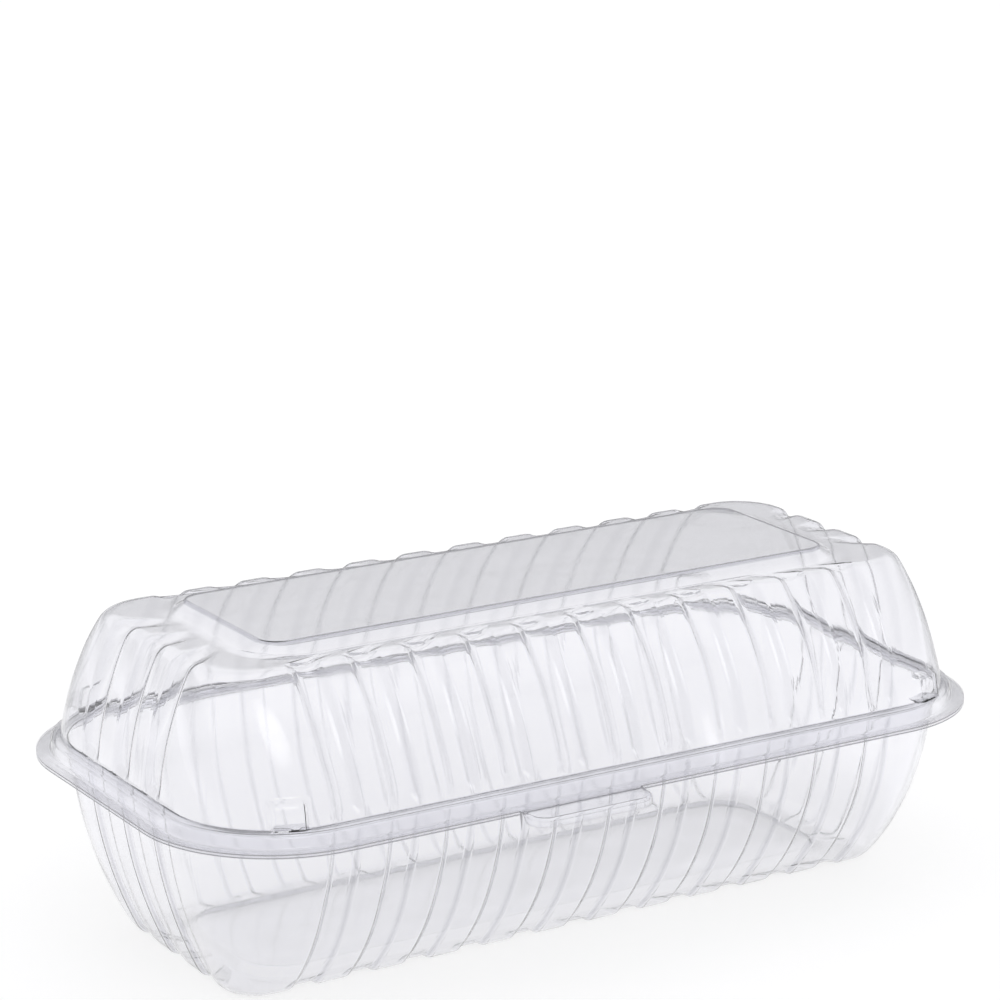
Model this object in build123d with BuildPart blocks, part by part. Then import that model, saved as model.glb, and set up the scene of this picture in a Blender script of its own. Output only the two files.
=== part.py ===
from build123d import *
import os
from math import asin, atan2, cos, degrees, radians, sin, sqrt, tan

# Clear hinged food pack, thermoformed from one sheet: a fluted tub and a fluted dome lid that nest
# at a beaded rim and stay joined along the back edge. X runs along the pack, the front is at -Y, and
# the pack stands on Z = 0. All sizes are in millimetres and degrees. The halves are formed about the
# middle of the rim, and moved at the end.

# Sheet and nesting
sheet = 0.5
nest_gap = 0.3

# Rim seen from above, the outer edge of both flanges
rim_length = 251.0
rim_width = 132.0
rim_corner = 38.0

# Rim bead: the tub's raised ring, which the lid's own ring covers
flange_height = 48.9
bead_height = 4.5
bead_inset = 4.2
bead_draft = 0.8

# Tub walls: insets from the rim edge at the bead and at the floor, and the lean at the bead
tub_foot_inset = 8.8
tub_foot_corner = 28.0
tub_lean = 1.5
tub_end_inset_long = 32.5
tub_end_inset_short = 22.7
tub_end_corner = 9.0

# Panel pressed up in the middle of the tub's floor, measured at its step in the floor
floor_panel_length = 185.0
floor_panel_width = 51.0
floor_panel_corner = 13.0
floor_panel_rise = 2.3
floor_panel_slope = 1.4

# Lid dome: insets from the rim edge at the foot and at the shoulder, and the leans at the foot
dome_rise = 35.3
dome_foot_inset = 7.0
dome_foot_corner = 29.5
dome_lean_long = 12.8
dome_lean_short = 5.0
dome_end_inset_long = 28.0
dome_end_inset_short = 17.5
dome_end_corner = 13.0

# Plateau on top of the dome, measured at its foot
plateau_length = 183.0
plateau_width = 63.0
plateau_corner = 17.0
plateau_rise = 2.5
plateau_slope = 6.0

# Rounded turn from the walls into the floor and into the top of the dome
shoulder_radius = 5.0

# Flutes: grooves sunk level between the ridges, running up the walls, with half the width of their floor
flute_depth = 2.8
flute_floor = 2.7
flute_draft = 24.0
long_pitch = 16.8
short_pitch = 17.8

# Lock lugs at the lid's corners, turned from the long side's direction
lug_width = 10.0
lug_height = 7.0
lug_angle = 21.0
lug_face_inset = 4.8
lug_draft = 12.0

# Finger tab on the lid's front edge, with its edge turned down
tab_width = 37.0
tab_depth = 9.0
tab_place = -19.5
tab_corner = 5.0
tab_lip = 2.5

# Rolled hinge along the back edge
hinge_length = 150.0
hinge_setback = 0.95

# Levels that follow from the sizes above
tub_depth = flange_height + bead_height
base_flange_top = flange_height + sheet
lid_flange_bottom = base_flange_top + nest_gap
dome_foot = tub_depth + nest_gap + sheet
hinge_level = base_flange_top + nest_gap / 2

# Flat facets along each wall's arc and round each corner, the leans at which the turn into the floor or
# top is cut, and how far a cut runs past
wall_spans = 4
corner_steps = 8
turn_angles = (40, 90)
cut_past = 2.0

# Half the width of a flute where it opens on the ridges
flute_mouth = flute_floor + flute_depth * tan(radians(flute_draft))


class Wall:
    """A side wall: an arc that leans in from its foot at the rim, then turns into the flat at its end."""

    def __init__(self, foot_inset, foot_lean, end_inset, rise):
        reach = end_inset - foot_inset
        lean = radians(foot_lean)
        self.radius = (reach**2 + rise**2) / (2 * (reach * cos(lean) - rise * sin(lean)))
        self.centre_inset = foot_inset + self.radius * cos(lean)
        self.centre_height = -self.radius * sin(lean)
        self.turn_height = rise - shoulder_radius
        self.turn_lean = asin((self.turn_height - self.centre_height) / (self.radius - shoulder_radius))
        self.turn_inset = self.centre_inset - (self.radius - shoulder_radius) * cos(self.turn_lean)

    def inset(self, height, offset):
        """Distance in from the rim edge at a height, for the face moved in by an offset."""
        radius = self.radius - offset
        if height < self.centre_height + radius * sin(self.turn_lean):
            return self.centre_inset - sqrt(radius**2 - (height - self.centre_height) ** 2)
        turn = shoulder_radius - offset
        return self.turn_inset - sqrt(max(turn**2 - (height - self.turn_height) ** 2, 0))


def flute_count(rim_size, pitch, tub_end_wall, dome_end_wall):
    """How many flutes fit on a side's straight stretch, at the foot and end of tub and dome alike."""
    half_straight = min(
        rim_size / 2 - tub_end_wall.inset(0, 0) - tub_foot_corner,
        rim_size / 2 - tub_end_wall.inset(tub_depth, 0) - tub_end_corner,
        rim_size / 2 - dome_end_wall.inset(0, 0) - dome_foot_corner,
        rim_size / 2 - dome_end_wall.inset(dome_rise, 0) - dome_end_corner,
    )
    return int(2 * (half_straight - flute_mouth - sheet) / pitch) + 1


def formed_half(seat, rise, long_wall, short_wall, foot_corner, end_corner, offset, lead):
    """Fluted solid on the seat plane, or from any lead levels up, with every face moved in by the offset."""
    # The sides of a flute lean, so moving them in by the offset widens it less than the offset
    widening = offset * (1 - sin(radians(flute_draft))) / cos(radians(flute_draft))
    turn_levels = [
        rise - shoulder_radius + (shoulder_radius - offset) * sin(radians(angle)) for angle in turn_angles
    ]
    wall_levels = [turn_levels[0] * step / wall_spans for step in range(wall_spans)]

    rings = []
    for height in lead + wall_levels + turn_levels:
        length = rim_length / 2 - short_wall.inset(height, offset)
        width = rim_width / 2 - long_wall.inset(height, offset)
        corner = foot_corner + (end_corner - foot_corner) * max(height / rise, 0) ** 2 - offset
        outline = []
        for turn, half, across, count, pitch in (
            (0, length, width, short_flutes, short_pitch),
            (90, width, length, long_flutes, long_pitch),
            (180, length, width, short_flutes, short_pitch),
            (270, width, length, long_flutes, long_pitch),
        ):
            side = []
            for place in range(count):
                middle = (place - (count - 1) / 2) * pitch
                side += [
                    (half, middle - flute_mouth - widening),
                    (half - flute_depth, middle - flute_floor - widening),
                    (half - flute_depth, middle + flute_floor + widening),
                    (half, middle + flute_mouth + widening),
                ]
            for step in range(corner_steps + 1):
                angle = radians(90 * step / corner_steps)
                side.append((half - corner + corner * cos(angle), across - corner + corner * sin(angle)))
            outline += [Vector(*point).rotate(Axis.Z, turn) for point in side]
        rings.append([seat.offset(height).from_local_coords(point) for point in outline])

    # Flat facets between each outline and the next, closed at both ends
    facets = [Face(Wire.make_polygon(ring)) for ring in (rings[0], rings[-1])]
    for ring, following in zip(rings, rings[1:]):
        for place in range(len(ring)):
            corners = (ring[place - 1], ring[place], following[place], following[place - 1])
            facets.append(Face(Wire.make_polygon(corners)))
    return Solid(Shell(facets))


def tapered_block(plane, length, width, corner, rise, slope):
    """Rounded block on a plane whose sides slope in over its rise."""
    with BuildPart() as block:
        with BuildSketch(plane):
            RectangleRounded(length, width, corner)
        extrude(amount=rise, taper=degrees(atan2(slope, rise)))
    return block.part


def rim_ring(level, inset, rise):
    """The rim's bead as a solid block from a level up, at an inset from the rim edge."""
    return tapered_block(
        Plane.XY.offset(level),
        rim_length - 2 * inset,
        rim_width - 2 * inset,
        rim_corner - inset,
        rise,
        bead_draft,
    )


def lug_blocks(offset):
    """The four corner lugs as blocks from the dome's foot up, with their faces moved in by the offset."""
    centre_x = rim_length / 2 - rim_corner
    centre_y = rim_width / 2 - rim_corner
    reach = rim_corner - lug_face_inset - offset
    with BuildPart() as lugs:
        with BuildSketch(Plane.XY.offset(dome_foot - sheet)):
            for side_x, side_y in ((1, 1), (-1, 1), (-1, -1), (1, -1)):
                turn = side_y * 90 - side_x * side_y * lug_angle
                with Locations(Location((side_x * centre_x, side_y * centre_y), turn)):
                    Rectangle(reach, lug_width - 2 * offset, align=(Align.MIN, Align.CENTER))
        extrude(amount=sheet + lug_height - offset, taper=lug_draft)
    return lugs.part


# Walls of the tub, which hangs from the bead's top, and of the dome, which stands on the lid's ring
tub_seat = Plane((0, 0, tub_depth), x_dir=(1, 0, 0), z_dir=(0, 0, -1))
tub_long_wall = Wall(tub_foot_inset, tub_lean, tub_end_inset_long, tub_depth)
tub_short_wall = Wall(tub_foot_inset, tub_lean, tub_end_inset_short, tub_depth)
tub_walls = (tub_depth, tub_long_wall, tub_short_wall, tub_foot_corner, tub_end_corner)
dome_seat = Plane.XY.offset(dome_foot)
dome_long_wall = Wall(dome_foot_inset, dome_lean_long, dome_end_inset_long, dome_rise)
dome_short_wall = Wall(dome_foot_inset, dome_lean_short, dome_end_inset_short, dome_rise)
dome_walls = (dome_rise, dome_long_wall, dome_short_wall, dome_foot_corner, dome_end_corner)
long_flutes = flute_count(rim_length, long_pitch, tub_short_wall, dome_short_wall)
short_flutes = flute_count(rim_width, short_pitch, tub_long_wall, dome_long_wall)

# Tub: open at the bead, closed at the floor
with BuildPart() as base:
    # Flange and bead, hollow from below
    add(rim_ring(flange_height, bead_inset, bead_height))
    with BuildSketch(Plane.XY.offset(flange_height)):
        RectangleRounded(rim_length, rim_width, rim_corner)
    extrude(amount=sheet)
    add(rim_ring(flange_height, bead_inset + sheet, bead_height - sheet), mode=Mode.SUBTRACT)

    # Fluted tub with the panel pressed up in its floor
    add(formed_half(tub_seat, *tub_walls, offset=0, lead=[]))
    add(formed_half(tub_seat, *tub_walls, offset=sheet, lead=[-cut_past]), mode=Mode.SUBTRACT)
    add(
        tapered_block(
            Plane.XY.offset(sheet),
            floor_panel_length + 2 * sheet,
            floor_panel_width + 2 * sheet,
            floor_panel_corner + sheet,
            floor_panel_rise,
            floor_panel_slope,
        )
    )
    add(
        tapered_block(
            Plane.XY,
            floor_panel_length,
            floor_panel_width,
            floor_panel_corner,
            floor_panel_rise,
            floor_panel_slope,
        ),
        mode=Mode.SUBTRACT,
    )

    # Hinge: the sheet rolls up round the hinge line from the flange's back edge
    with BuildSketch(Plane.YZ.offset(-hinge_length / 2)):
        with Locations((rim_width / 2, hinge_level)):
            Circle(sheet + nest_gap / 2)
            Circle(nest_gap / 2, mode=Mode.SUBTRACT)
            Rectangle(
                2 * rim_width,
                2 * rim_width,
                align=(Align.MAX, Align.CENTER),
                mode=Mode.SUBTRACT,
            )
            with Locations((0, nest_gap / 2)):
                Rectangle(hinge_setback - nest_gap, sheet, align=(Align.MAX, Align.MIN))
    extrude(amount=hinge_length)

# Lid: a dome over the tub, with its ring over the tub's bead
lid_ring_inset = bead_inset - nest_gap - sheet

with BuildPart() as lid:
    # Flange set back at the hinge, and the finger tab with its lip
    with BuildSketch(Plane.XY.offset(lid_flange_bottom)) as flange_sketch:
        RectangleRounded(rim_length, rim_width, rim_corner)
        with Locations((0, rim_width / 2 - hinge_setback)):
            Rectangle(rim_length, rim_width, align=(Align.CENTER, Align.MIN), mode=Mode.SUBTRACT)
        with Locations((tab_place, -rim_width / 2 - tab_depth)):
            Rectangle(tab_width, tab_depth + bead_inset, align=(Align.CENTER, Align.MIN))
        fillet(flange_sketch.vertices().group_by(Axis.Y)[0], tab_corner)
    extrude(amount=sheet)
    with BuildSketch(Plane.XY.offset(lid_flange_bottom + sheet)):
        with Locations((tab_place, -rim_width / 2 - tab_depth)):
            Rectangle(tab_width - 2 * tab_corner, sheet, align=(Align.CENTER, Align.MIN))
    extrude(amount=-tab_lip)

    # Ring, fluted dome, plateau and lugs, then the same forms a sheet further in cut out
    add(rim_ring(lid_flange_bottom, lid_ring_inset, dome_foot - lid_flange_bottom))
    add(formed_half(dome_seat, *dome_walls, offset=0, lead=[]))
    add(
        tapered_block(
            dome_seat.offset(dome_rise),
            plateau_length,
            plateau_width,
            plateau_corner,
            plateau_rise,
            plateau_slope,
        )
    )
    add(lug_blocks(0))
    add(
        rim_ring(lid_flange_bottom, lid_ring_inset + sheet, dome_foot - lid_flange_bottom - sheet),
        mode=Mode.SUBTRACT,
    )
    add(formed_half(dome_seat, *dome_walls, offset=sheet, lead=[-cut_past]), mode=Mode.SUBTRACT)
    add(
        tapered_block(
            dome_seat.offset(dome_rise - sheet),
            plateau_length - 2 * sheet,
            plateau_width - 2 * sheet,
            plateau_corner - sheet,
            plateau_rise,
            plateau_slope,
        ),
        mode=Mode.SUBTRACT,
    )
    add(lug_blocks(sheet), mode=Mode.SUBTRACT)

# Shift that brings the origin under the middle of the whole, from the tab's edge to the hinge
to_middle = Location((0, (tab_depth - sheet - nest_gap / 2) / 2, 0))

os.makedirs("parts", exist_ok=True)
for half, name in ((base, "base"), (lid, "lid")):
    solid = half.part.moved(to_middle)
    solid.label = name
    export_step(solid, f"parts/{name}.step")
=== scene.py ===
import math

import bmesh
import bpy
from mathutils import Matrix, Vector


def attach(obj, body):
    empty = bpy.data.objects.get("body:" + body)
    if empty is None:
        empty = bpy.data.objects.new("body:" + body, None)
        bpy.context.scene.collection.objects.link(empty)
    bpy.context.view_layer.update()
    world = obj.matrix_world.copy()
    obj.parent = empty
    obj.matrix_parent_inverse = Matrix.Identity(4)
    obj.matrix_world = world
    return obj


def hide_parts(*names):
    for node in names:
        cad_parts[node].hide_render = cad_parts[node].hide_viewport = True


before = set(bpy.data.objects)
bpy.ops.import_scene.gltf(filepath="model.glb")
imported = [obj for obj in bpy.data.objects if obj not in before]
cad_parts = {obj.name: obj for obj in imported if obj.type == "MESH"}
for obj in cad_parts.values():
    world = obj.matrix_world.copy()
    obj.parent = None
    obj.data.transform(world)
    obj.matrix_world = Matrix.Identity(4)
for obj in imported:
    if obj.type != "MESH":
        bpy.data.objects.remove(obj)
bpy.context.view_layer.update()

# Tub: the lower half of a clear pack, drawn from one hot polyester sheet into a fluted mould. Its flange
# and raised bead stiffen the rim, the floor is pressed up inside a standing ring, and the flange rolls up
# at the back into the living hinge. Sizes are in millimetres, and the sheet's upper face is what is drawn.
rim_length, rim_width, rim_corner = 251.0, 132.0, 38.0
long_pitch, long_flutes = 16.8, 11
short_pitch, short_flutes = 17.8, 3
lug_turn, lug_half_turn, lug_soft = 69.0, 8.6, 2.4

# The rim's middle lies this far back, so that the pack is centred with its tab. The sheet is about as thin as
# a real one, where the solid that it stands for is 0.5 mm thick.
rim_middle, sheet = 4.175, 0.35

# A flute's stations, by their distance from its middle. The tub's flutes are flat, creased, sloped and
# creased again: the first row is how far the wall is sunk, the second how dark painted shade greys a fold's
# line.
tub_flute = 0.95
flute_offs = (0.0, 1.2, 2.5, 2.7, 2.9, 3.6, 4.3, 4.5, 4.7, 5.4)
flute_mouth = flute_offs[-1]
tub_flutes = dict(zip(flute_offs, zip(
    (1.0, 1.0, 1.0, 0.985, 0.9, 0.5, 0.1, 0.015, 0.0, 0.0),
    (0.0, 0.0, 0.0, 0.0, 0.1, 0.5, 0.1, 0.0, 0.0, 0.0),
)))


def smooth_step(low, high, value):
    share = min(max((value - low) / (high - low), 0.0), 1.0)
    return share * share * (3.0 - 2.0 * share)


def side_stations(count, pitch):
    """Places along a straight side, each with its distance from the middle of its flute."""
    stations, gap = [], pitch - 2 * flute_mouth
    for flute in range(count):
        middle = (flute - (count - 1) / 2) * pitch
        stations += [(middle - off, off) for off in flute_offs[:0:-1]]
        stations += [(middle + off, off) for off in flute_offs]
        if flute < count - 1:
            stations += [(middle + flute_mouth + share * gap, flute_mouth) for share in (0.25, 0.5, 0.75)]
    return stations


# Every outline has the same stations: along each side in turn, then round the corner after it
corner_steps = 20
corner_angles = {90.0 * step / corner_steps for step in range(corner_steps + 1)}
for side in (-1, 1):
    for share in (-1.0, -0.5, 0.0, 0.5, 1.0):
        lug_edge = lug_turn + side * (lug_half_turn + share * lug_soft)
        corner_angles |= {lug_edge, 90.0 - lug_edge}
outline_stations = []
for turn, count, pitch in (
    (0, short_flutes, short_pitch), (90, long_flutes, long_pitch),
    (180, short_flutes, short_pitch), (270, long_flutes, long_pitch),
):
    outline_stations += [(turn, along, off, None) for along, off in side_stations(count, pitch)]
    outline_stations += [(turn, None, None, angle) for angle in sorted(corner_angles)]


class Wall:
    """A side wall's section: an arc that leans in from its foot and turns into the flat at its end."""

    turn_radius = 5.0

    def __init__(self, foot_inset, foot_lean, end_inset, rise, offset):
        reach, lean = end_inset - foot_inset, math.radians(foot_lean)
        radius = (reach**2 + rise**2) / (2 * (reach * math.cos(lean) - rise * math.sin(lean)))
        self.centre_inset = foot_inset + radius * math.cos(lean)
        self.centre_height = -radius * math.sin(lean)
        self.turn_height = rise - self.turn_radius
        self.turn_lean = math.asin((self.turn_height - self.centre_height) / (radius - self.turn_radius))
        self.turn_inset = self.centre_inset - (radius - self.turn_radius) * math.cos(self.turn_lean)
        self.radius, self.turn = radius - offset, self.turn_radius - offset

    def at(self, height):
        """Inset from the rim's edge and lean at a height."""
        if height < self.centre_height + self.radius * math.sin(self.turn_lean):
            lean = math.asin((height - self.centre_height) / self.radius)
            return self.centre_inset - self.radius * math.cos(lean), lean
        lean = math.asin(min((height - self.turn_height) / self.turn, 1.0))
        return self.turn_inset - self.turn * math.cos(lean), lean


def outline(
    long_inset, short_inset, corner, height, long_sink=(0.0, 0.0), short_sink=(0.0, 0.0),
    flutes=tub_flutes, lug=None, crease_shade=0.0,
):
    """Points round the pack at a height, each with how dark painted shade greys its fold line there.

    The flutes of the long and the short sides are sunk in and down by the given amounts. A lug is the reach
    of the flat on each corner, and a crease is a line of painted shade that goes all the way round.
    """
    points = []
    for turn, along, off, angle in outline_stations:
        fold_shade = crease_shade
        if turn in (0, 180):
            half, across = rim_length / 2 - short_inset, rim_width / 2 - long_inset
            count, pitch, (sink_in, sink_down) = short_flutes, short_pitch, short_sink
        else:
            half, across = rim_width / 2 - long_inset, rim_length / 2 - short_inset
            count, pitch, (sink_in, sink_down) = long_flutes, long_pitch, long_sink
        if angle is None:
            fit = min(1.0, (across - corner) / ((count - 1) / 2 * pitch + flute_mouth))
            sunk, line_shade = flutes[off]
            # Painted shade: a fold's grey line darkens with the flute's depth
            fold_shade += line_shade * math.hypot(sink_in, sink_down)
            spot = Vector((half - sunk * sink_in, along * fit, height - sunk * sink_down))
        else:
            reach = corner
            if lug:
                from_lug = abs((angle if turn in (90, 270) else 90.0 - angle) - (90.0 - lug_turn))
                face = lug / math.cos(math.radians(min(from_lug, lug_half_turn)))
                edge = smooth_step(lug_half_turn - lug_soft, lug_half_turn + lug_soft, from_lug)
                reach += max(face - corner, 0.0) * (1.0 - edge)
            swing = math.radians(angle)
            reach_out, reach_along = reach * math.cos(swing), reach * math.sin(swing)
            spot = Vector((half - corner + reach_out, across - corner + reach_along, height))
        points.append((Matrix.Rotation(math.radians(turn), 3, "Z") @ spot, fold_shade))
    return points


def place(vert, point):
    vert.co = Vector((point.x, point.y + rim_middle, point.z)) / 1000


def drawn_sheet(outlines):
    """A sheet grown from its cut edge: each outline is extruded from the one before, the last is filled."""
    bm = bmesh.new()
    # Each vertex keeps how dark painted shade greys the sheet there, along its fold lines
    painted_fold_shade = bm.verts.layers.float.new("painted_fold_shade")
    ring = bmesh.ops.create_circle(bm, segments=len(outline_stations), radius=1.0)["verts"]
    for vert, (point, fold_shade) in zip(ring, outlines[0]):
        place(vert, point)
        vert[painted_fold_shade] = fold_shade
    for points in outlines[1:]:
        station = {vert: number for number, vert in enumerate(ring)}
        edges = [bm.edges.get((ring[number - 1], ring[number])) for number in range(len(ring))]
        grown = bmesh.ops.extrude_edge_only(bm, edges=edges)["geom"]
        following = list(ring)
        for vert in (item for item in grown if isinstance(item, bmesh.types.BMVert)):
            linked = (edge.other_vert(vert) for edge in vert.link_edges)
            number = next(station[other] for other in linked if other in station)
            point, fold_shade = points[number]
            place(vert, point)
            vert[painted_fold_shade] = fold_shade
            following[number] = vert
        ring = following
    edges = [bm.edges.get((ring[number - 1], ring[number])) for number in range(len(ring))]
    bmesh.ops.contextual_create(bm, geom=edges)
    return bm


def back_edge_run(bm, half_length):
    """Open edges of the sheet's straight back edge, as far as a distance to each side of its middle."""
    run = []
    for edge in bm.edges:
        if edge.is_boundary:
            ends = [(v.co.x * 1000, v.co.y * 1000 - rim_middle) for v in edge.verts]
            if all(abs(x) <= half_length + 0.01 and y > rim_width / 2 - 0.1 for x, y in ends):
                run.append(edge)
    return run


def grow_run(bm, edges, back, height):
    """Extrudes a run of level edges to a place and height at the back, and gives the new level edges."""
    grown = bmesh.ops.extrude_edge_only(bm, edges=edges)["geom"]
    for vert in (item for item in grown if isinstance(item, bmesh.types.BMVert)):
        place(vert, Vector((vert.co.x * 1000, back, height)))
    open_edges = [item for item in grown if isinstance(item, bmesh.types.BMEdge) and item.is_boundary]
    return [e for e in open_edges if abs(e.verts[0].co.z - e.verts[1].co.z) < 0.00001]


def linear(hex_colour):
    """Linear colour of an sRGB hex value."""
    parts = [int(hex_colour[k:k + 2], 16) / 255 for k in (1, 3, 5)]
    return [p / 12.92 if p <= 0.04045 else ((p + 0.055) / 1.055) ** 2.4 for p in parts] + [1.0]


def add_node(tree, kind, settings=None, values=None, links=None):
    """Adds a node with its settings and socket values, and links sockets of other nodes to its inputs."""
    node = tree.nodes.new(kind)
    for key, value in (settings or {}).items():
        setattr(node, key, value)
    for key, value in (values or {}).items():
        node.inputs[key].default_value = value
    for key, socket in (links or {}).items():
        tree.links.new(socket, node.inputs[key])
    return node


# Clear amorphous polyester, thermoformed: glossy and nearly colourless, with the faint long waves and the
# slight cloudy haze that a drawn sheet has. A fold bends light aside, so its thin grey line is painted shade
# here: the base colour greys from #FBFBFD towards #CFCFD5 along the sheet's fold lines.
wave_length, cloud_size = 18.18, 8.333
clear_polyester = bpy.data.materials.new("clear_polyester_sheet")
clear_polyester.use_nodes = True
tree = clear_polyester.node_tree
tree.nodes.clear()
coords = add_node(tree, "ShaderNodeTexCoord")
waves = add_node(
    tree, "ShaderNodeTexNoise",
    values={"Scale": 1000 / wave_length, "Detail": 2.0, "Roughness": 0.4},
    links={"Vector": coords.outputs["Object"]},
)
wavy = add_node(
    tree, "ShaderNodeBump",
    values={"Strength": 0.12, "Distance": 0.0008}, links={"Height": waves.outputs["Fac"]},
)
clouds = add_node(
    tree, "ShaderNodeTexNoise",
    values={"Scale": 1000 / cloud_size, "Detail": 3.0}, links={"Vector": coords.outputs["Object"]},
)
haze = add_node(
    tree, "ShaderNodeMapRange",
    values={"From Min": 0.35, "From Max": 0.7, "To Min": 0.02, "To Max": 0.07},
    links={"Value": clouds.outputs["Fac"]},
)
# Painted shade: the base colour greys along the folds, by the strength stored on each vertex
painted_fold_shade_node = add_node(tree, "ShaderNodeAttribute", {"attribute_name": "painted_fold_shade"})
fold_shaded_colour = add_node(
    tree, "ShaderNodeMix", {"data_type": "RGBA"},
    {"A": linear("#FBFBFD"), "B": linear("#CFCFD5")}, {"Factor": painted_fold_shade_node.outputs["Fac"]},
)
clear = add_node(
    tree, "ShaderNodeBsdfPrincipled", values={"IOR": 1.57, "Transmission Weight": 1.0},
    links={
        "Base Color": fold_shaded_colour.outputs["Result"], "Roughness": haze.outputs["Result"],
        "Normal": wavy.outputs["Normal"],
    },
)
add_node(tree, "ShaderNodeOutputMaterial", links={"Surface": clear.outputs["BSDF"]})

# Die-cut edge of the same sheet: the steel rule leaves it frosted, so it shows as a soft grey line. The
# rule's drag marks are under 0.3 mm apart, drawn here at 1 mm so that they show.
mark_spacing = 1.0
cut_polyester = bpy.data.materials.new("die_cut_polyester_edge")
cut_polyester.use_nodes = True
tree = cut_polyester.node_tree
tree.nodes.clear()
coords = add_node(tree, "ShaderNodeTexCoord")
marks = add_node(
    tree, "ShaderNodeTexNoise",
    values={"Scale": 1000 / mark_spacing, "Detail": 2.0}, links={"Vector": coords.outputs["Object"]},
)
frost = add_node(
    tree, "ShaderNodeMapRange", values={"To Min": 0.3, "To Max": 0.6}, links={"Value": marks.outputs["Fac"]},
)
cut = add_node(
    tree, "ShaderNodeBsdfPrincipled",
    values={"Base Color": linear("#F1F0F4"), "IOR": 1.57, "Transmission Weight": 0.1},
    links={"Roughness": frost.outputs["Result"]},
)
add_node(tree, "ShaderNodeOutputMaterial", links={"Surface": cut.outputs["BSDF"]})


def sheet_object(bm, name):
    """Turns the drawn face upwards, gives it the sheet's thickness below and makes it a piece."""
    bmesh.ops.remove_doubles(bm, verts=bm.verts, dist=0.00001)
    bmesh.ops.dissolve_degenerate(bm, edges=bm.edges, dist=0.00001)
    bmesh.ops.recalc_face_normals(bm, faces=bm.faces)
    panel = max(bm.faces, key=lambda face: len(face.verts))
    if panel.normal.z < 0:
        bmesh.ops.reverse_faces(bm, faces=bm.faces)
    thin = bpy.data.meshes.new(name + "_face")
    bm.to_mesh(thin)
    bm.free()
    thin.materials.append(clear_polyester)
    thin.materials.append(cut_polyester)
    piece = bpy.data.objects.new(name, thin)
    bpy.context.collection.objects.link(piece)
    wall = piece.modifiers.new("sheet", "SOLIDIFY")
    wall.thickness, wall.offset, wall.use_even_offset = sheet / 1000, -1.0, True
    wall.material_offset_rim = 1
    piece.data = bpy.data.meshes.new_from_object(piece.evaluated_get(bpy.context.evaluated_depsgraph_get()))
    piece.modifiers.clear()
    piece.data.name = name
    piece.data.shade_smooth()
    piece.data.set_sharp_from_angle(angle=math.radians(50))
    return piece


tub_depth, mouth_corner, ring_corner = 53.4, 28.0, 9.0
floor_long_inset, floor_short_inset, floor_corner = 40.0, 32.5, 13.5
tub_long = Wall(foot_inset=8.8, foot_lean=1.5, end_inset=32.5, rise=tub_depth, offset=sheet)
tub_short = Wall(foot_inset=8.8, foot_lean=1.5, end_inset=22.7, rise=tub_depth, offset=sheet)


def tub_level(drop, sink):
    """Outline of the tub's wall at a drop below the bead's top."""
    (long_inset, long_lean), (short_inset, short_lean) = tub_long.at(drop), tub_short.at(drop)
    corner = mouth_corner + (ring_corner - mouth_corner) * max(drop / tub_depth, 0.0) ** 2 - sheet
    depth = tub_flute * sink
    return outline(
        long_inset, short_inset, corner, tub_depth - drop,
        (depth * math.cos(long_lean), -depth * math.sin(long_lean)),
        (depth * math.cos(short_lean), -depth * math.sin(short_lean)),
    )


# Flange and bead, as insets from the rim's edge and heights, and the bead's rounded inner edge
tub_flange = 49.4
tub_rim = (
    (0.0, tub_flange), (0.3, tub_flange), (3.5, tub_flange), (4.1, 49.5), (4.35, 49.9),
    (4.85, 52.4), (5.05, 52.85), (5.6, 53.05), (8.2, tub_depth),
)
inner_edge_inset, inner_edge_corner, inner_edge_height = 8.9, 28.3, 53.2
tub_outlines = [outline(inset, inset, rim_corner - inset, height) for inset, height in tub_rim]
tub_outlines.append(outline(inner_edge_inset, inner_edge_inset, inner_edge_corner, inner_edge_height))

# Wall, where the flutes start within a short drop, and its turn into the standing ring
wall_top, wall_drop, wall_steps = 0.9, 49.2, 16
flute_start = 3.0
for step in range(wall_steps + 1):
    drop = wall_top + wall_drop * step / wall_steps
    tub_outlines.append(tub_level(drop, smooth_step(0.0, flute_start, drop)))
for angle in (45, 54, 63, 72, 81, 90):
    turned = (Wall.turn_radius - sheet) * math.sin(math.radians(angle))
    tub_outlines.append(tub_level(tub_depth - Wall.turn_radius + turned, 1.0))

# Standing ring, where the flutes run out, and the pressed-up floor panel
ring_long, ring_short = tub_long.at(tub_depth - sheet)[0], tub_short.at(tub_depth - sheet)[0]
for share in (0.25, 0.5, 0.75):
    fade = (0.0, -tub_flute * (1.0 - smooth_step(0.1, 0.75, share)))
    tub_outlines.append(outline(
        ring_long + share * (floor_long_inset - ring_long),
        ring_short + share * (floor_short_inset - ring_short),
        ring_corner + share * (floor_corner - ring_corner), sheet, fade, fade,
    ))
floor_corner_most = 8.0
for inset, height in ((0.0, sheet), (0.35, 0.6), (1.3, 2.4), (1.65, 2.7), (2.4, 2.8), (12.0, 2.8)):
    tub_outlines.append(outline(
        floor_long_inset + inset, floor_short_inset + inset,
        floor_corner - min(inset, floor_corner_most), height,
    ))
tub_mesh = drawn_sheet(tub_outlines)

# Living hinge: the flange's back edge rolls up round the hinge line and ends in a short lip
hinge_half, hinge_height, hinge_roll, hinge_lip = 75.0, 49.55, 0.15, 0.65
hinge_edges = back_edge_run(tub_mesh, hinge_half)
for angle in (45, 90, 135, 180):
    swing = math.radians(angle)
    hinge_edges = grow_run(
        tub_mesh, hinge_edges,
        rim_width / 2 + hinge_roll * math.sin(swing), hinge_height - hinge_roll * math.cos(swing),
    )
grow_run(tub_mesh, hinge_edges, rim_width / 2 - hinge_lip, hinge_height + hinge_roll)
tub = sheet_object(tub_mesh, "tub")
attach(tub, "base")
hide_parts("base")

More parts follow.
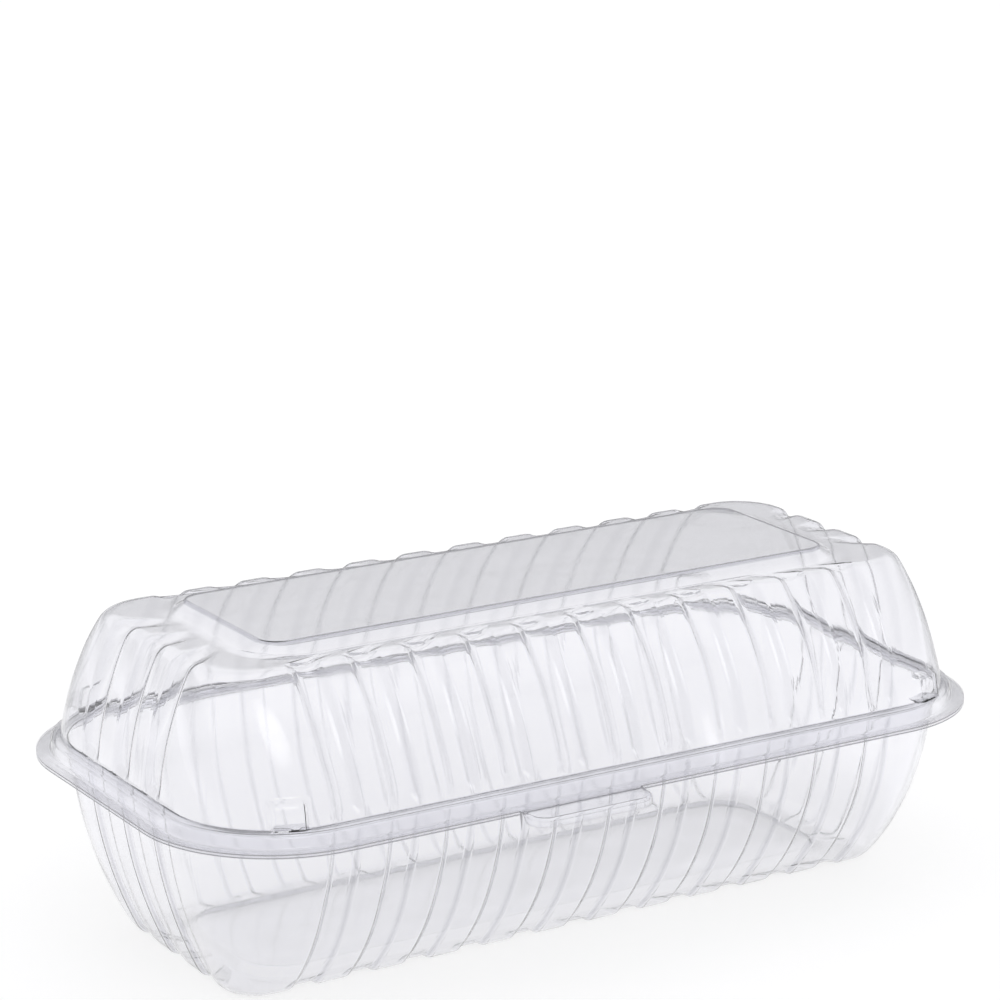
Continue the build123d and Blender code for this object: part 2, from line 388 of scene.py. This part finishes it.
# Lid: the domed upper half of the same sheet. Its ring sits over the tub's bead, four lugs at the corners
# lock it down, a raised panel stiffens the top, and a finger tab with a turned-down edge opens it. It
# folds at the back on the living hinge, so its flange ends a hair short of the tub's roll there.
lid_flange, dome_foot, dome_foot_inset, dome_rise = 50.2, 54.2, 7.0, 35.3
dome_foot_corner, dome_top_corner = 29.5, 13.0
dome_long = Wall(foot_inset=dome_foot_inset, foot_lean=12.8, end_inset=28.0, rise=dome_rise, offset=0.0)
dome_short = Wall(foot_inset=dome_foot_inset, foot_lean=5.0, end_inset=17.5, rise=dome_rise, offset=0.0)

# The dome's flutes are soft swells, less deep at the top, and the painted shade that greys their folds is
# only faint; a line of painted shade also runs round the dome's foot
dome_flute, top_share, swell_start = 1.7, 0.7, 1.2
fold_shade_middle, fold_shade_half, fold_shade_strength, foot_shade_line = 3.6, 1.8, 0.12, 0.6
dome_flutes = {}
for off in flute_offs:
    line_shade = fold_shade_strength * max(1.0 - ((off - fold_shade_middle) / fold_shade_half) ** 2, 0.0)
    dome_flutes[off] = (1.0 - smooth_step(swell_start, flute_mouth, off), line_shade)

# A lug's face leans in, and above its height it sinks back into the corner. As the walls lean in it follows
# them by two shares, near the sine and the cosine of its turn.
lug_reach, lug_height, lug_lean, lug_sink = 31.26, 7.0, math.tan(math.radians(12.0)), 6.0
lug_across, lug_along = 0.93, 0.36


def dome_level(height, sink):
    """Outline of the dome's wall at a height above its foot, with the lugs on its lowest part."""
    (long_inset, long_lean), (short_inset, short_lean) = dome_long.at(height), dome_short.at(height)
    corner = dome_foot_corner + (dome_top_corner - dome_foot_corner) * max(height / dome_rise, 0.0) ** 2
    depth = dome_flute * sink
    long_shift = long_inset - dome_foot_inset + corner - dome_foot_corner
    short_shift = short_inset - dome_foot_inset + corner - dome_foot_corner
    lug_top = smooth_step(lug_height - 1.0, lug_height + 2.0, height)
    lug_shift = long_shift * lug_across + short_shift * lug_along
    lug = lug_reach - height * lug_lean + lug_shift - lug_sink * lug_top
    return outline(
        long_inset, short_inset, corner, dome_foot + height,
        (depth * math.cos(long_lean), depth * math.sin(long_lean)),
        (depth * math.cos(short_lean), depth * math.sin(short_lean)),
        dome_flutes, lug if lug_top < 1.0 else None, foot_shade_line if height == 0.0 else 0.0,
    )


tab_middle, tab_half, tab_depth, tab_corner, tab_lip, tab_bend = -19.5, 18.5, 9.0, 5.0, 2.5, 1.0


def tab_outline(angle, drop):
    """The flange's edge, with the tab drawn out of its front and bent down by an angle and then a drop."""
    front, side, turn = tab_half - tab_corner, tab_depth - tab_corner, tab_corner * math.pi / 2
    bend, points = math.radians(angle), []
    for p, fold_shade in outline(0.0, 0.0, rim_corner, lid_flange):
        along = (p.x - tab_middle) / tab_half
        if p.y < 0.1 - rim_width / 2 and abs(along) <= 1.0:
            run = abs(along) * (front + turn + side)
            if run <= front:
                spot, outward = Vector((run, -tab_depth)), Vector((0.0, -1.0))
            elif run <= front + turn:
                round_corner = (run - front) / tab_corner
                outward = Vector((math.sin(round_corner), -math.cos(round_corner)))
                spot = Vector((front, -side)) + tab_corner * outward
            else:
                spot, outward = Vector((tab_half, run - front - turn - side)), Vector((1.0, 0.0))
            share = smooth_step(0.8, 3.5, -spot.y)
            spot += outward * tab_bend * (math.sin(bend) - 1.0)
            fall = tab_bend * (1.0 - math.cos(bend)) + drop
            across, height = spot.y - rim_width / 2, lid_flange - share * fall
            p = Vector((tab_middle + math.copysign(spot.x, along), across, height))
        points.append((p, fold_shade))
    return points


# Tab, then the flange and the ring over the bead, as insets from the rim's edge and heights
lid_outlines = [tab_outline(90.0, tab_lip - tab_bend)]
lid_outlines += [tab_outline(angle, 0.0) for angle in (90.0, 67.5, 45.0, 22.5, 0.0)]
lid_rim = (
    (0.0, lid_flange), (0.3, lid_flange), (2.7, lid_flange), (3.3, 50.3), (3.55, 50.7),
    (4.05, 53.3), (4.25, 53.75), (4.7, 53.98), (5.9, dome_foot),
)
lid_outlines += [outline(inset, inset, rim_corner - inset, height) for inset, height in lid_rim]

# Wall with its lugs, and its turn into the top
dome_heights = [0.0, 0.4, 2.0, 4.0, 6.0, 6.4, 6.8, 7.2, 7.6, 8.0, 9.0]
plain_rise, plain_steps, lug_end = 23.5, 11, dome_heights[-1]
dome_heights += [lug_end + plain_rise * step / plain_steps for step in range(1, plain_steps + 1)]
lid_outlines += [dome_level(height, smooth_step(0.0, flute_start, height)) for height in dome_heights]
turn_angles = (38, 47, 56, 65, 74, 82, 90)
for angle in turn_angles:
    height = dome_rise - Wall.turn_radius + Wall.turn_radius * math.sin(math.radians(angle))
    turned = smooth_step(turn_angles[0], turn_angles[-1], angle)
    lid_outlines.append(dome_level(height, 1.0 - (1.0 - top_share) * turned))

# Ledge, where the flutes run out, then the slope, the step and the flat of the raised panel. The third
# number of each row is how dark painted shade greys the step as a line.
ledge_height, panel_long_inset, panel_short_inset, panel_corner = dome_foot + dome_rise, 34.5, 32.5, 17.0
ledge_long, ledge_short = dome_long.at(dome_rise)[0], dome_short.at(dome_rise)[0]
for share in (0.15, 0.3, 0.45, 0.7):
    fade = (0.0, dome_flute * top_share * (1.0 - smooth_step(0.0, 0.6, share)))
    lid_outlines.append(outline(
        ledge_long + share * (panel_long_inset - ledge_long),
        ledge_short + share * (panel_short_inset - ledge_short),
        dome_top_corner + share * (panel_corner - dome_top_corner), ledge_height, fade, fade, dome_flutes,
    ))
end_share, corner_share, panel_corner_most = 0.85, 1.8, 12.0
for inset, height, line_shade in (
    (0.0, ledge_height, 0.0), (0.6, 89.65, 0.0), (5.0, 91.2, 0.2), (5.25, 91.34, 0.7),
    (5.6, 91.62, 1.0), (5.95, 91.85, 1.0), (6.25, 91.96, 1.0), (6.6, 92.0, 0.6),
    (7.0, 92.0, 0.0), (8.5, 92.0, 0.0), (16.0, 92.0, 0.0),
):
    lid_outlines.append(outline(
        panel_long_inset + inset, panel_short_inset + end_share * inset,
        panel_corner - min(corner_share * inset, panel_corner_most), height, crease_shade=line_shade,
    ))

# The flange's straight back edge is cut back from the hinge's roll
hinge_gap = 0.95
lid_mesh = drawn_sheet(lid_outlines)
for vert in lid_mesh.verts:
    vert.co.y = min(vert.co.y, (rim_width / 2 - hinge_gap + rim_middle) / 1000)
lid = sheet_object(lid_mesh, "lid_dome")
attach(lid, "lid")
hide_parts("lid")

# Stage: a wide sheet of white paper that keeps the pack's soft shadow. The camera sees it white, straight or
# through the clear sheet, and gloss mirrors it white close by and grey further off, as in a small studio.
floor_reach, floor_drop, paper_glow = 6.0, 0.0002, 0.78
floor_mesh = bmesh.new()
bmesh.ops.create_grid(floor_mesh, x_segments=1, y_segments=1, size=floor_reach)
bmesh.ops.translate(floor_mesh, verts=floor_mesh.verts, vec=(0.0, 0.0, -floor_drop))
floor_data = bpy.data.meshes.new("floor")
floor_mesh.to_mesh(floor_data)
floor_mesh.free()
floor = bpy.data.objects.new("floor", floor_data)
bpy.context.collection.objects.link(floor)
white_paper = bpy.data.materials.new("white_paper")
white_paper.use_nodes = True
tree = white_paper.node_tree
tree.nodes.clear()
rays = add_node(tree, "ShaderNodeLightPath")
floor_coords = add_node(tree, "ShaderNodeTexCoord")
away = add_node(
    tree, "ShaderNodeVectorMath", {"operation": "LENGTH"}, links={0: floor_coords.outputs["Object"]},
)
pool = add_node(
    tree, "ShaderNodeMapRange", {"interpolation_type": "SMOOTHSTEP"},
    {"From Min": 0.2, "From Max": 0.5, "To Min": 1.0, "To Max": 0.15}, {"Value": away.outputs["Value"]},
)
mirrored = add_node(
    tree, "ShaderNodeMath", {"operation": "MULTIPLY"},
    links={0: rays.outputs["Is Glossy Ray"], 1: pool.outputs["Result"]},
)
straight = add_node(
    tree, "ShaderNodeMath", {"operation": "MAXIMUM"},
    links={0: rays.outputs["Is Camera Ray"], 1: rays.outputs["Is Transmission Ray"]},
)
seen = add_node(
    tree, "ShaderNodeMath", {"operation": "MAXIMUM"}, links={0: straight.outputs[0], 1: mirrored.outputs[0]},
)
paper = add_node(tree, "ShaderNodeBsdfDiffuse", values={"Color": linear("#AAAAAA")})
whiteness = add_node(tree, "ShaderNodeMath", {"operation": "MULTIPLY"}, {1: paper_glow}, {0: seen.outputs[0]})
glow = add_node(
    tree, "ShaderNodeEmission", values={"Color": linear("#FFFFFF")}, links={"Strength": whiteness.outputs[0]},
)
lit_paper = add_node(
    tree, "ShaderNodeAddShader", links={0: paper.outputs["BSDF"], 1: glow.outputs["Emission"]},
)
add_node(tree, "ShaderNodeOutputMaterial", links={"Surface": lit_paper.outputs["Shader"]})
floor_data.materials.append(white_paper)

# Studio light: a pale horizon, even grey walls in front, and behind a darker card low down that gives the
# flat top panel its tone. A soft round light at the front left makes the highlight on the lid's corner. The
# camera itself sees the world as plain white.
lamp_direction, lamp_edge, lamp_core, lamp_strength = (-0.150, -0.735, 0.661), 16.0, 3.0, 1.3
world = bpy.data.worlds.new("studio")
bpy.context.scene.world = world
world.use_nodes = True
tree = world.node_tree
tree.nodes.clear()
sky_coords = add_node(tree, "ShaderNodeTexCoord")
axes = add_node(tree, "ShaderNodeSeparateXYZ", links={"Vector": sky_coords.outputs["Generated"]})
front_greys = ((0.0, 0.9), (0.03, 0.9), (0.15, 0.58), (0.75, 0.58), (1.0, 0.75))
rear_greys = (
    (0.0, 0.9), (0.03, 0.9), (0.12, 0.34), (0.31, 0.34), (0.38, 0.75), (0.55, 0.7), (0.75, 0.45), (1.0, 0.75),
)
halves = []
for greys in (front_greys, rear_greys):
    half = add_node(tree, "ShaderNodeValToRGB", links={"Fac": axes.outputs["Z"]})
    stops = half.color_ramp.elements
    stops.remove(stops[1])
    for number, (position, grey) in enumerate(greys):
        stop = stops.new(position) if number else stops[0]
        stop.position, stop.color = position, (grey, grey, grey * 1.03, 1.0)
    halves.append(half)
rearward = add_node(
    tree, "ShaderNodeMapRange", {"interpolation_type": "SMOOTHSTEP"},
    {"From Min": -0.35, "From Max": 0.25}, {"Value": axes.outputs["Y"]},
)
walls = add_node(
    tree, "ShaderNodeMix", {"data_type": "RGBA"},
    links={
        "Factor": rearward.outputs["Result"],
        "A": halves[0].outputs["Color"], "B": halves[1].outputs["Color"],
    },
)
rays = add_node(tree, "ShaderNodeLightPath")
backdrop = add_node(
    tree, "ShaderNodeMix", {"data_type": "RGBA"}, {"B": linear("#FFFFFF")},
    {"Factor": rays.outputs["Is Camera Ray"], "A": walls.outputs["Result"]},
)
studio = add_node(
    tree, "ShaderNodeBackground", values={"Strength": 1.0}, links={"Color": backdrop.outputs["Result"]},
)
toward_lamp = add_node(
    tree, "ShaderNodeVectorMath", {"operation": "DOT_PRODUCT"},
    {1: lamp_direction}, {0: sky_coords.outputs["Generated"]},
)
lamp_shape = add_node(
    tree, "ShaderNodeMapRange", {"interpolation_type": "SMOOTHSTEP"},
    {
        "From Min": math.cos(math.radians(lamp_edge)), "From Max": math.cos(math.radians(lamp_core)),
        "To Min": 0.0, "To Max": lamp_strength,
    },
    {"Value": toward_lamp.outputs["Value"]},
)
lamp = add_node(
    tree, "ShaderNodeBackground",
    values={"Color": linear("#FFFFFF")}, links={"Strength": lamp_shape.outputs["Result"]},
)
light = add_node(
    tree, "ShaderNodeAddShader", links={0: studio.outputs["Background"], 1: lamp.outputs["Background"]},
)
add_node(tree, "ShaderNodeOutputWorld", links={"Surface": light.outputs["Shader"]})

# Camera: a low three-quarter view of the front and the left end, with the frame shifted up as in the
# photograph, where the pack stands in the lower half
azimuth, elevation, distance = math.radians(31.82), math.radians(18.68), 0.97064
target = Vector((0.0, rim_middle / 1000, 0.045))
outward = Vector((
    -math.sin(azimuth) * math.cos(elevation), -math.cos(azimuth) * math.cos(elevation), math.sin(elevation),
))
camera_data = bpy.data.cameras.new("camera")
camera_data.sensor_width, camera_data.lens = 36.0, 127.0
camera_data.shift_x, camera_data.shift_y = -0.0103, 0.2345
camera = bpy.data.objects.new("camera", camera_data)
camera.location = target + outward * distance
camera.rotation_euler = (-outward).to_track_quat("-Z", "Y").to_euler()
bpy.context.collection.objects.link(camera)
bpy.context.scene.camera = camera
bpy.context.scene.view_settings.view_transform = "Standard"
